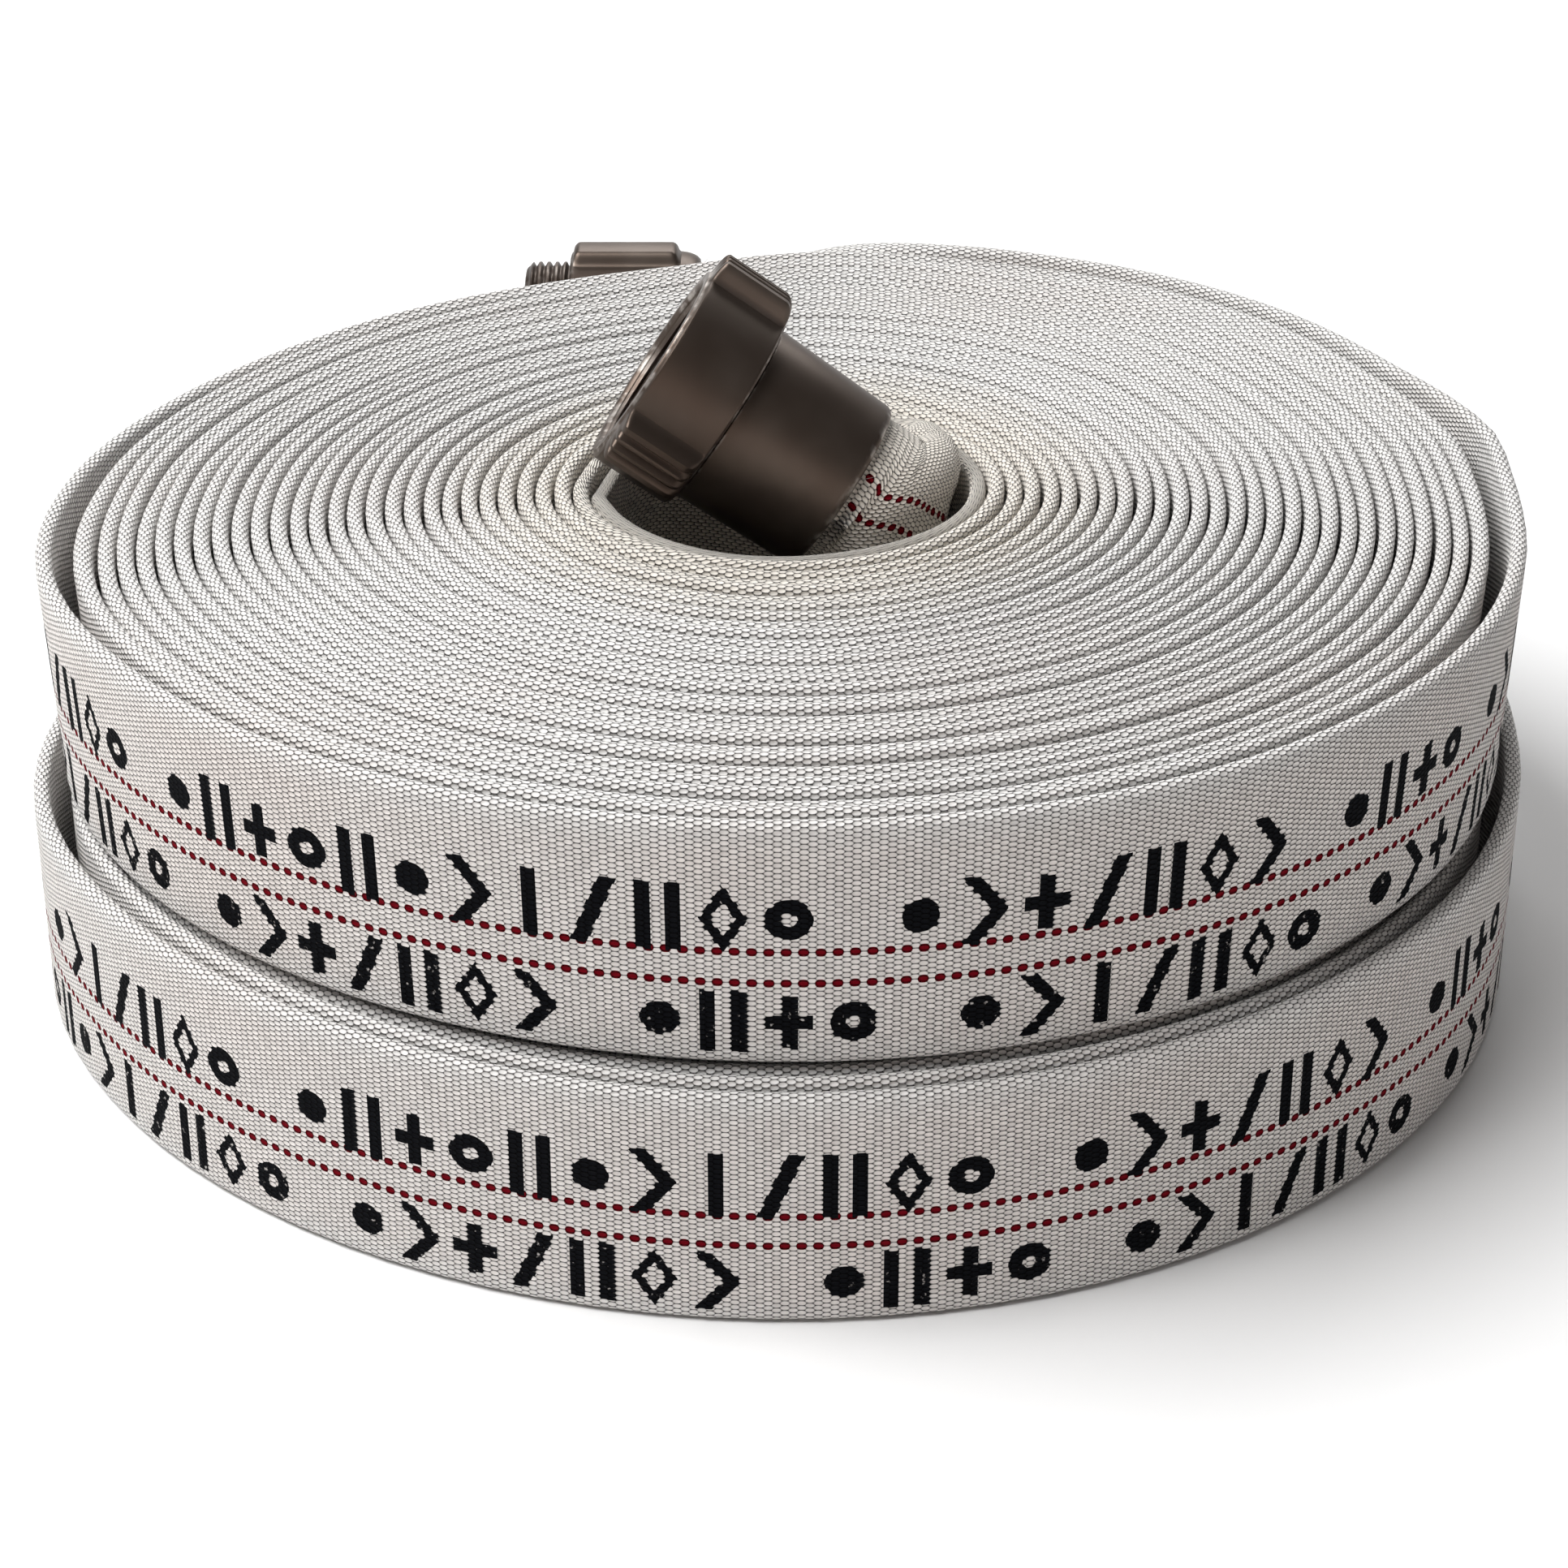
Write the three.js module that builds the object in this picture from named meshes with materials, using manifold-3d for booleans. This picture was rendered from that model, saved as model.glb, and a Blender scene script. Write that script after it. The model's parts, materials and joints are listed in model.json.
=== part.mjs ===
// Two rolled lengths of single-jacket attack hose, one resting on the other.
// Each length is a flat-rolled woven jacket with its rubber lining, a swivelling female coupling in the
// middle of the roll and a male coupling at the outer end. The pressed turns of a roll are one solid, and
// the two ends of the hose, which open out to round, have their jacket and lining apart. Millimetres, +Z
// up, origin on the floor under the middle of the whole stack.
import * as THREE from "three";
import { mergeVertices } from "three/addons/utils/BufferGeometryUtils.js";
import Module from "manifold-3d";

const wasm = await Module();
wasm.setup();

// ---- Driving dimensions -------------------------------------------------------------------------

const HOSE_WIDTH = 66.5; // lay-flat width, and so the height of a roll
const HOSE_RADIUS = 23.6; // outside of the jacket where a coupling holds it round
const JACKET_WALL = 1.5;
const LINING_WALL = 0.7;
const GAP = 0.3; // between touching pieces
const LINING_GAP = 0.5; // between the jacket and its lining, more than the gap where the hose bends
const OPEN_STATIONS = 5; // of a hose end's route, from the coupling, where the lining stands open
const ROLL_GAP = 0.4; // between the two rolls

const UPPER = {
  name: "upper",
  base: HOSE_WIDTH + ROLL_GAP, // height of the roll's underside
  holeRadius: 48,
  rollRadius: 205,
  femaleEnd: [16, 0, 64], // end of the female bowl, from the roll's underside
  femaleTilt: 33.5, // degrees, mouth raised
  maleHeight: 33.25, // axis of the male coupling, from the roll's underside
  // Centre line and half sizes (tall, thick) of the tail from the female bowl into the first turn.
  innerTail: [
    { at: [27, -1.3, 57], half: [25, 21] },
    { at: [37.5, 2.5, 50.5], half: [29, 11] },
    { at: [41.2, 14, 45], half: [31.5, 6.5] },
    { at: [38.5, 27, 39.5], half: [32.6, 4] },
    { at: [30, 40, 35], half: [33, 2.8] },
    { at: [17, 47.4, 33.25], half: [33, 2.6] },
  ],
};

const LOWER = {
  name: "lower",
  base: 0,
  holeRadius: 60.5,
  rollRadius: 208.5,
  femaleEnd: [26, -2, 29],
  femaleTilt: 24,
  maleHeight: 29.2, // the coupling lies on the floor
  innerTail: [
    { at: [36.9, -3, 25.6], half: [23.8, 20] },
    { at: [46.8, 2, 28.4], half: [27.4, 11] },
    { at: [52.2, 15, 31.8], half: [31, 6.5] },
    { at: [50, 30, 33.25], half: [32.6, 4] },
    { at: [41.5, 45, 33.25], half: [33, 2.8] },
    { at: [28, 56, 33.25], half: [33, 2.6] },
  ],
};

const FEMALE_HEADING = 173.8; // degrees from +X, seen from above
const FEMALE_LUG_PHASE = 10; // degrees, of the top lug from straight up

const MALE_END_X = -28; // tail end of the male coupling
const MALE_STANDOFF = 6; // its axis outside the roll's radius
const POCKET_ANGLE = 100; // middle of the hollow that the male coupling presses into the roll
const POCKET_SPREAD = 22;
const POCKET_DEPTH = 26;

// Bore shared by both couplings: hose bowl, shoulder and waterway.
const WATERWAY = 19.05; // 1.5 inch bore
const BOWL_BORE = 23.9;
const BOWL_DEPTH = 34.3;
const HOSE_IN_BOWL = 30.6; // length of hose inside a bowl
const EXPANSION_RING = { inner: 19.2, outer: 20.1, from: 2, to: 30.6 };
const TAIL_GASKET = { inner: 19.4, outer: 23.4, from: 31.1, to: 34.0 };

// Female coupling, measured along its axis from the tail end of the bowl.
const BOWL_LENGTH = 38.5;
const NECK_END = 50;
const NECK_RADIUS = 24.6;
const SWIVEL_START = 38.9;
const SWIVEL_END = 64;
const SWIVEL_RADIUS = 31;
const SWIVEL_BORE = 24.95;
const FEMALE_LUG = { radius: 37, root: 28, halfRoot: 9.5, halfTop: 7, from: 39.9, to: 62.8, grooves: true };
const RACE = { from: 41.2, to: 43.8, neck: 23.5, swivel: 26.1 }; // groove that holds the retaining wire
const SEAL = { from: 45.6, to: 48, floor: 22.6 }; // groove of the O-ring
const GASKET_SEAT = { from: 49.4, to: 54.2, radius: 26.4 };
const FILL_HOLE_RADIUS = 2.5;
const FILL_HOLE_ANGLE = 60; // from the nearest lug

// Threads: 1.5 inch NH, nine to the inch.
const THREAD_PITCH = 2.82;
const FEMALE_THREAD = { crest: 24.2, root: 25.3, from: 54.4, turns: 3 };
const MALE_THREAD = { crest: 25.2, root: 23.9, from: 44.4, turns: 4 };

// Male coupling, measured along its axis from the tail end of the bowl.
const MALE_BODY_RADIUS = 28.8;
const MALE_BODY_END = 43;
const MALE_LENGTH = 59;
const MALE_LUG = { radius: 34, root: 26, halfRoot: 9, halfTop: 6, from: 9, to: 42, grooves: false };

const SWEEP_CLEARANCE = 2; // between the turning lugs and the turns beside them

const LUGS = 3;
const AROUND = 24; // facets of a turned piece
const ROLL_FACETS = 48;

const COLOURS = {
  jacket: { color: 0xdad6cd, roughness: 0.85, metalness: 0 },
  lining: { color: 0x2a2a2b, roughness: 0.7, metalness: 0 },
  anodised: { color: 0x5a4e46, roughness: 0.38, metalness: 0.85 },
  rubber: { color: 0x1d1d1e, roughness: 0.6, metalness: 0 },
  steel: { color: 0xb9bcc0, roughness: 0.3, metalness: 0.9 },
  brass: { color: 0xc79a4b, roughness: 0.35, metalness: 0.9 },
};

// ---- Solids ---------------------------------------------------------------------------------------

const radians = THREE.MathUtils.degToRad;
const lerp = THREE.MathUtils.lerp;

function solidOf(geometry) {
  const bare = geometry.clone();
  bare.deleteAttribute("normal");
  bare.deleteAttribute("uv");
  const merged = mergeVertices(bare, 1e-4);
  return new wasm.Manifold(
    new wasm.Mesh({
      numProp: 3,
      vertProperties: merged.getAttribute("position").array,
      triVerts: new Uint32Array(merged.index.array),
    }),
  );
}

function geometryOf(solid) {
  const mesh = solid.getMesh();
  const geometry = new THREE.BufferGeometry();
  geometry.setAttribute("position", new THREE.BufferAttribute(mesh.vertProperties, 3));
  geometry.setIndex(new THREE.BufferAttribute(mesh.triVerts, 1));
  geometry.computeVertexNormals();
  return geometry;
}

function meshOf(name, solid, colour) {
  const mesh = new THREE.Mesh(geometryOf(solid), new THREE.MeshStandardMaterial(COLOURS[colour]));
  mesh.name = name;
  return mesh;
}

// A ring turned about +Z. The outline goes up the outside and down the inside, as [radius, height].
function turned(outline) {
  const points = [...outline, outline[0]].map(([r, h]) => new THREE.Vector2(r, h));
  return solidOf(new THREE.LatheGeometry(points, AROUND).rotateX(Math.PI / 2));
}

function plainRing({ inner, outer, from, to }) {
  return turned([
    [outer, from],
    [outer, to],
    [inner, to],
    [inner, from],
  ]);
}

// The zigzag of a thread's flanks, from one end of the thread to the other.
function threadOutline({ crest, root, from, turns }) {
  const outline = [[crest, from]];
  for (let turn = 0; turn < turns; turn += 1) {
    outline.push([root, from + (turn + 0.5) * THREAD_PITCH]);
    outline.push([crest, from + (turn + 1) * THREAD_PITCH]);
  }
  return outline;
}

// One rocker lug: a raised pad that runs along the axis, with two wrench grooves in its top.
function lug({ radius, root, halfRoot, halfTop, from, to, grooves }, angle) {
  const shape = new THREE.Shape();
  shape.moveTo(-halfRoot, root);
  shape.lineTo(-halfRoot, root + 3);
  shape.lineTo(-halfTop, radius - 1);
  shape.lineTo(1 - halfTop, radius);
  if (grooves) {
    for (const middle of [-2.6, 2.6]) {
      shape.lineTo(middle - 1.5, radius);
      shape.lineTo(middle, radius - 1.4);
      shape.lineTo(middle + 1.5, radius);
    }
  }
  shape.lineTo(halfTop - 1, radius);
  shape.lineTo(halfTop, radius - 1);
  shape.lineTo(halfRoot, root + 3);
  shape.lineTo(halfRoot, root);
  shape.closePath();
  const geometry = new THREE.ExtrudeGeometry(shape, { depth: to - from, bevelEnabled: false });
  return solidOf(geometry.translate(0, 0, from).rotateZ(radians(angle)));
}

function withLugs(body, size, phase) {
  let solid = body;
  for (let i = 0; i < LUGS; i += 1) {
    solid = solid.add(lug(size, phase + (i * 360) / LUGS));
  }
  return solid;
}

// ---- Where the couplings lie ------------------------------------------------------------------------

const maleAxis = new THREE.Vector3(-1, 0, 0);

function femaleAxis(roll) {
  const tilt = radians(roll.femaleTilt);
  const heading = radians(FEMALE_HEADING);
  return new THREE.Vector3(Math.cos(tilt) * Math.cos(heading), Math.cos(tilt) * Math.sin(heading), Math.sin(tilt));
}

// A group whose +Z runs along the axis and whose +Y is the upper side.
function couplingGroup(axis, end) {
  const up = new THREE.Vector3(0, 0, 1).addScaledVector(axis, -axis.z).normalize();
  const side = new THREE.Vector3().crossVectors(up, axis);
  const group = new THREE.Group();
  group.quaternion.setFromRotationMatrix(new THREE.Matrix4().makeBasis(side, up, axis));
  group.position.copy(end);
  group.updateMatrix();
  return group;
}

const femaleGroup = (roll) => couplingGroup(femaleAxis(roll), new THREE.Vector3(...roll.femaleEnd));
const maleGroup = (roll) =>
  couplingGroup(maleAxis, new THREE.Vector3(MALE_END_X, roll.rollRadius + MALE_STANDOFF, roll.maleHeight));

// ---- Hose ------------------------------------------------------------------------------------------

// Outside radius of a roll: round, with a hollow where the male coupling and its tail press in.
function outlineRadius(roll, angle) {
  const away = (angle - POCKET_ANGLE) / POCKET_SPREAD;
  return roll.rollRadius - POCKET_DEPTH * Math.exp(-away * away);
}

// The rolled turns as one plain ring.
function ring(roll) {
  const outer = [];
  const hole = [];
  for (let i = 0; i < ROLL_FACETS; i += 1) {
    const angle = (i * 360) / ROLL_FACETS;
    const direction = new THREE.Vector2(Math.cos(radians(angle)), Math.sin(radians(angle)));
    outer.push(direction.clone().multiplyScalar(outlineRadius(roll, angle)));
    hole.push(direction.clone().multiplyScalar(roll.holeRadius));
  }
  const shape = new THREE.Shape(outer);
  shape.holes.push(new THREE.Path(hole));
  return solidOf(new THREE.ExtrudeGeometry(shape, { depth: HOSE_WIDTH, bevelEnabled: false }));
}

// A closed tube through the first stations, up to the count, of a route of { at, half }, with its sides and
// its far end set in by the inset. Each section stands upright, square to the route, and goes from round
// to a flat loop with blunt ends.
function tail(route, inset, count = route.length) {
  const sides = 12;
  const points = route.map(({ at }) => new THREE.Vector3(...at));
  const curve = new THREE.CatmullRomCurve3(points, false, "centripetal");
  const last = route.length - 1;
  const positions = [];
  const index = [];
  route.slice(0, count).forEach(({ half }, station) => {
    const centre = points[station];
    const along = curve.getTangent(station / last);
    const up = new THREE.Vector3(0, 0, 1).addScaledVector(along, -along.z).normalize();
    const side = new THREE.Vector3().crossVectors(along, up);
    if (station === last) centre.addScaledVector(along, -inset);
    const [tall, thick] = half.map((size) => size - inset);
    const blunt = lerp(0.6, 1, half[1] / half[0]);
    for (let i = 0; i < sides; i += 1) {
      const turn = (i * 2 * Math.PI) / sides;
      const [c, s] = [Math.cos(turn), Math.sin(turn)].map((v) => Math.sign(v) * Math.abs(v) ** blunt);
      const point = centre.clone().addScaledVector(up, tall * c).addScaledVector(side, thick * s);
      positions.push(...point.toArray());
    }
    if (station === 0) return;
    for (let i = 0; i < sides; i += 1) {
      const a = (station - 1) * sides + i;
      const b = (station - 1) * sides + ((i + 1) % sides);
      index.push(a, b, a + sides, b, b + sides, a + sides);
    }
  });
  const end = (count - 1) * sides;
  for (let i = 1; i < sides - 1; i += 1) {
    index.push(0, i + 1, i);
    index.push(end, end + i, end + i + 1);
  }
  const geometry = new THREE.BufferGeometry();
  geometry.setAttribute("position", new THREE.Float32BufferAttribute(positions, 3));
  geometry.setIndex(index);
  return solidOf(geometry);
}

const round = [HOSE_RADIUS, HOSE_RADIUS];

// The straight stretch in a coupling's bowl, from its blind end to just outside the bowl's mouth.
function stretchInBowl(axis, end, extra) {
  const mouth = new THREE.Vector3(...end);
  return [HOSE_IN_BOWL + extra, HOSE_IN_BOWL / 2, 0, -6].map((depth) => ({
    at: mouth.clone().addScaledVector(axis, depth).toArray(),
    half: round,
  }));
}

function innerTail(roll, extra) {
  return [...stretchInBowl(femaleAxis(roll), roll.femaleEnd, extra), ...roll.innerTail];
}

// The outer end: from the male bowl along the back of the roll into the last turn.
function outerTail(roll, extra) {
  const y = roll.rollRadius + MALE_STANDOFF;
  const z = roll.maleHeight;
  const middle = HOSE_WIDTH / 2;
  return [
    ...stretchInBowl(maleAxis, [MALE_END_X, y, z], extra),
    { at: [-14, y, z], half: [24.5, 22] },
    { at: [4, y - 1.2, lerp(z, middle, 0.4)], half: [28.5, 14] },
    { at: [26, y - 5, lerp(z, middle, 0.8)], half: [32, 7] },
    { at: [54, y - 14.4, middle], half: [33, 3.2] },
    { at: [92, y - 34.2, middle], half: [33, 2.6] },
  ];
}

// Everything the lugs sweep when the swivel turns, so that the turns beside it lie clear.
function swivelSweep(roll) {
  const radius = FEMALE_LUG.radius + SWEEP_CLEARANCE;
  const geometry = new THREE.CylinderGeometry(radius, radius, SWIVEL_END - SWIVEL_START + 4, AROUND);
  geometry.rotateX(Math.PI / 2).translate(0, 0, (SWIVEL_END + SWIVEL_START) / 2);
  return solidOf(geometry.applyMatrix4(femaleGroup(roll).matrix));
}

// The pressed turns, with a bed where each end of the hose leaves them.
function rolledTurns(roll) {
  return ring(roll)
    .subtract(swivelSweep(roll))
    .subtract(tail(innerTail(roll, 0), -GAP))
    .subtract(tail(outerTail(roll, 0), -GAP));
}

// The jacket of one end of the hose: a tube that closes flat where it joins the turns.
function endJacket(roll, route) {
  return tail(route(roll, 0), 0).subtract(tail(route(roll, 1), JACKET_WALL));
}

// The lining of one end: open where the hose is round, and pressed to a solid strip beyond.
function endLining(roll, route) {
  const outside = JACKET_WALL + LINING_GAP;
  const bore = tail(route(roll, 1), outside + LINING_WALL, OPEN_STATIONS);
  return tail(route(roll, 0), outside).subtract(bore);
}

// ---- Couplings ------------------------------------------------------------------------------------

const bowlBore = [
  [WATERWAY, BOWL_DEPTH],
  [BOWL_BORE, BOWL_DEPTH],
  [BOWL_BORE, 0.8],
  [BOWL_BORE + 0.5, 0],
];

function femaleBowl() {
  return turned([
    [25, 0],
    [26.2, 1.4],
    [27.2, BOWL_LENGTH],
    [NECK_RADIUS, BOWL_LENGTH],
    [NECK_RADIUS, RACE.from],
    [RACE.neck, RACE.from],
    [RACE.neck, RACE.to],
    [NECK_RADIUS, RACE.to],
    [NECK_RADIUS, SEAL.from],
    [SEAL.floor, SEAL.from],
    [SEAL.floor, SEAL.to],
    [NECK_RADIUS, SEAL.to],
    [NECK_RADIUS, NECK_END],
    [WATERWAY, NECK_END],
    ...bowlBore,
  ]);
}

// A radial cylinder at the retaining wire's groove, between two lugs.
function fillCylinder(radius, from, to) {
  const geometry = new THREE.CylinderGeometry(radius, radius, to - from, 12);
  geometry.translate(0, (from + to) / 2, 0).rotateZ(radians(FEMALE_LUG_PHASE + FILL_HOLE_ANGLE));
  return solidOf(geometry.translate(0, 0, (RACE.from + RACE.to) / 2));
}

function femaleSwivel() {
  const body = turned([
    [SWIVEL_RADIUS - 0.8, SWIVEL_START],
    [SWIVEL_RADIUS, SWIVEL_START + 0.8],
    [SWIVEL_RADIUS, SWIVEL_END - 1.4],
    [SWIVEL_RADIUS - 1.4, SWIVEL_END],
    [26.2, SWIVEL_END],
    ...threadOutline(FEMALE_THREAD).reverse(),
    [GASKET_SEAT.radius, GASKET_SEAT.to],
    [GASKET_SEAT.radius, GASKET_SEAT.from],
    [SWIVEL_BORE, GASKET_SEAT.from],
    [SWIVEL_BORE, RACE.to],
    [RACE.swivel, RACE.to],
    [RACE.swivel, RACE.from],
    [SWIVEL_BORE, RACE.from],
    [SWIVEL_BORE, SWIVEL_START],
  ]);
  return withLugs(body, FEMALE_LUG, FEMALE_LUG_PHASE).subtract(
    fillCylinder(FILL_HOLE_RADIUS, RACE.swivel - 0.3, SWIVEL_RADIUS + 3),
  );
}

// Six-sided wire section: it clears both halves of its groove.
function retainingWire() {
  const middle = (RACE.neck + RACE.swivel) / 2;
  const height = (RACE.from + RACE.to) / 2;
  const outline = [];
  for (let side = 0; side < 6; side += 1) {
    const turn = (side * Math.PI) / 3;
    outline.push([middle + Math.cos(turn), height + Math.sin(turn)]);
  }
  return turned(outline);
}

function maleBody() {
  const body = turned([
    [25.2, 0],
    [26.8, 1.8],
    [28.3, 4.6],
    [MALE_BODY_RADIUS, 8],
    [MALE_BODY_RADIUS, MALE_BODY_END],
    [MALE_BODY_RADIUS - 0.8, MALE_BODY_END + 0.8],
    [MALE_THREAD.root, MALE_BODY_END + 0.8],
    ...threadOutline({ ...MALE_THREAD, crest: MALE_THREAD.root, root: MALE_THREAD.crest }),
    [MALE_THREAD.root, MALE_LENGTH - 0.8],
    [MALE_THREAD.root - 0.8, MALE_LENGTH],
    [WATERWAY, MALE_LENGTH],
    ...bowlBore,
  ]);
  return withLugs(body, MALE_LUG, 0);
}

// ---- Assembly ----------------------------------------------------------------------------------------

function hoseLength(roll) {
  const piece = (name, solid, colour) => meshOf(`${roll.name}_${name}`, solid, colour);

  const female = femaleGroup(roll);
  female.add(
    piece("female_bowl", femaleBowl(), "anodised"),
    piece("female_expansion_ring", plainRing(EXPANSION_RING), "brass"),
    piece("female_tail_gasket", plainRing(TAIL_GASKET), "rubber"),
    piece("retaining_wire", retainingWire(), "steel"),
    piece(
      "swivel_o_ring",
      plainRing({ inner: SEAL.floor + GAP, outer: SWIVEL_BORE - GAP, from: SEAL.from + GAP, to: SEAL.to - GAP }),
      "rubber",
    ),
    piece("swivel", femaleSwivel(), "anodised"),
    piece("swivel_gasket", plainRing({ inner: 19.6, outer: 26.1, from: 50.3, to: 53.8 }), "rubber"),
    piece("fill_plug", fillCylinder(FILL_HOLE_RADIUS - GAP, RACE.swivel + GAP, SWIVEL_RADIUS - 0.4), "steel"),
  );

  const male = maleGroup(roll);
  male.add(
    piece("male_body", maleBody(), "anodised"),
    piece("male_expansion_ring", plainRing(EXPANSION_RING), "brass"),
    piece("male_tail_gasket", plainRing(TAIL_GASKET), "rubber"),
  );

  const length = new THREE.Group();
  length.position.z = roll.base;
  length.add(
    piece("rolled_turns", rolledTurns(roll), "jacket"),
    piece("inner_end_jacket", endJacket(roll, innerTail), "jacket"),
    piece("inner_end_lining", endLining(roll, innerTail), "lining"),
    piece("outer_end_jacket", endJacket(roll, outerTail), "jacket"),
    piece("outer_end_lining", endLining(roll, outerTail), "lining"),
    female,
    male,
  );
  return length;
}

const hoseStack = new THREE.Group();
hoseStack.add(hoseLength(LOWER), hoseLength(UPPER));
// The male couplings stand out at the back, so the rolls lie forward of the middle of the whole box.
hoseStack.position.y = -new THREE.Box3().setFromObject(hoseStack).getCenter(new THREE.Vector3()).y;

export default hoseStack;
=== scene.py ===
# Two rolled lengths of woven fire hose with their threaded couplings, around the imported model.
import json
import math
import random

import bpy
import numpy as np
from mathutils import Matrix, Vector


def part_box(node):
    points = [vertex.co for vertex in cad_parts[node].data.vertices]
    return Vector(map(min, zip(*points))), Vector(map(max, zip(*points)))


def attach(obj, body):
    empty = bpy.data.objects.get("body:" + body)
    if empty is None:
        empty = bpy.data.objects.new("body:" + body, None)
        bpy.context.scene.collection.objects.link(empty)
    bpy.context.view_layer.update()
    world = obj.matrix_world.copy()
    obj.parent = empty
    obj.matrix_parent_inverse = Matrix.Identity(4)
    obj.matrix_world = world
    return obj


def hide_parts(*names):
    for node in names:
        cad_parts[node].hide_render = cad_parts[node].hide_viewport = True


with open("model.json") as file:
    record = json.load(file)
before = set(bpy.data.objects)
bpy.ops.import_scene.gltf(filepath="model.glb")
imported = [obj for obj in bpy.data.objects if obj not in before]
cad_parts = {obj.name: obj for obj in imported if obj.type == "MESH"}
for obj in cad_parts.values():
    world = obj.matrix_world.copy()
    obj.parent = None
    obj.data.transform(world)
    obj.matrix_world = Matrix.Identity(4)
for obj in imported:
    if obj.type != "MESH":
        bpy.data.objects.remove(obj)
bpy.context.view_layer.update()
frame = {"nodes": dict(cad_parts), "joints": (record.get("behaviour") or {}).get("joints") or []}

MM = 0.001

# ---- Hose ---------------------------------------------------------------------------------------
# Lengths in millimetres. A roll's own frame has its origin on the roll's axis, at its underside.

HOSE_WIDTH = 66.5
HOSE_RADIUS = 23.6
JACKET_WALL = 1.5
LINING_WALL = 0.7
LINING_GAP = 0.3  # between jacket and lining
OPEN_HALF = 1.2  # half thickness inside the wall from which the hose counts as open
RIBBON = 5.2  # thickness of the pressed hose
SEAM_GAP = 0.36  # taken off each half so that neighbouring turns stay clear
THINNEST_HALF = 1.7
HOSE_IN_BOWL = 30.6
SWIVEL_FROM, SWIVEL_TO = 38.9, 64.0  # stations of the swivel along the coupling, from the bowl's mouth
SWEEP_RADIUS = 38.4  # kept clear round the turning lugs
SWEEP_STEP = 0.25  # how finely the height under the lugs is searched

COLUMN = 2.0  # spacing along the hose of the staggered columns of woven floats
ROW = 1.46  # spacing of the floats across the hose
ROWS_AROUND = 96
GIRTH = ROW * ROWS_AROUND
TWIST = -16.0  # how far the weave is turned round the hose at its inner end
TWIST_FROM, TWIST_TO = 36.0, 70.0  # where along the hose it straightens
OPEN_LENGTH = 90.0  # how far along the hose the inner end stands open
SETTLE_LENGTH = 60.0  # over which the lines of the weave stop gaining on each other after that
GOLDEN = 0.618034  # steps through the printed shapes so that none follows itself
TRACER_ROWS = (-1, -7)
PRINT_FROM = 700.0  # distance along the hose from which it is printed

STEPS_PER_TURN = 48  # stations of the spiral; the curve through them is sampled twice as finely
SIDE_POINTS = 5
ARC_POINTS = 9

# For each roll: turns, how far the last turn stands raised, how far the turns lean outward at the rim, the
# offset and swing of the turns' top edges, and the stations of the inner end from the bowl to the first turn,
# each with x, y, z, half height and half thickness.
ROLLS = {
    "upper": {
        "turns": 29,
        "raise": 3.4,
        "lean": 2.8,
        "top_noise": (-0.35, 0.9),
        "inner_end": [
            (25.6, -1.3, 57, 24.5, 20.8),
            (34.6, 2.5, 51, 28.4, 12),
            (39, 14, 45, 31.2, 6.5),
            (38.5, 27, 39.5, 32.6, 4),
            (30, 40, 35, 33, 2.8),
        ],
    },
    "lower": {
        "turns": 27,
        "raise": 0.0,
        "lean": 0.0,
        "top_noise": (-1.0, 0.9),
        "inner_end": [
            (36.9, -3, 25.6, 23.8, 20),
            (46.8, 2, 28.4, 27.4, 11),
            (52.2, 15, 31.8, 31, 6.5),
            (50, 30, 33.25, 32.6, 4),
            (41.5, 45, 33.25, 33, 2.8),
        ],
    },
}
FIRST_TURN_POINT = {"upper": (17, 47.4), "lower": (28, 56)}
END_ANGLE = 62.5  # degrees, where the last turn becomes the outer end

# Shape of the outermost turn against a plain spiral: angle in degrees, millimetres outward.
OUTLINE = [
    (0, 1.6), (8, 4.8), (13, 6.4), (20, 2.2), (28, 1.8), (36, 4.4), (50, 6.6), (70, 5.0), (88, 3.0),
    (99, -8.5), (112, -13.5), (130, -14.0), (150, -12.5), (165, -7.3), (179, -1.1), (196, 5.3), (215, 5.2),
    (240, 4.4), (270, 4.6), (300, 4.3), (330, 2.6), (350, 1.2),
]
# How much further out the lower roll bulges.
LOWER_BULGE = [(0, 2.0), (60, 0.0), (120, 0.0), (180, 4.8), (225, 5.4), (270, 6.2), (315, 4.2)]
# Gap under the outermost turn.
STAND_OFF = [
    (0, 6.4), (12, 7.5), (24, 3.4), (36, 2.0), (50, 0.6), (90, 0.2), (150, 0.4), (170, 2.5), (184, 5.0),
    (196, 5.0), (208, 2.6), (225, 0.6), (300, 0.4), (322, 1.6), (336, 3.6), (350, 5.6),
]
RADIUS_SWING = 0.22  # how much the turns' distance from the axis wanders
UNDERSIDE, UNDERSIDE_SWING = 0.35, 0.3  # height of the turns' lower edges, and how much it wanders
# A dent in the turns under the last two, towards the rim: angle and spread in degrees, depth.
DENT_ANGLE, DENT_SPREAD, DENT_DEPTH = 192, 16, 1.9


def periodic(table, degrees):
    """Smooth closed interpolation of a table of (angle, value)."""
    angles = np.array([a for a, _ in table], float)
    values = np.array([v for _, v in table], float)
    x = np.concatenate([angles - 360, angles, angles + 360])
    y = np.tile(values, 3)
    slope = np.gradient(y, x)
    at = np.mod(degrees, 360)
    i = np.clip(np.searchsorted(x, at, side="right") - 1, 0, len(x) - 2)
    width = x[i + 1] - x[i]
    t = (at - x[i]) / width
    return (
        y[i] * (1 + 2 * t) * (1 - t) ** 2
        + y[i + 1] * t * t * (3 - 2 * t)
        + width * (slope[i] * t * (1 - t) ** 2 - slope[i + 1] * t * t * (1 - t))
    )


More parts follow.
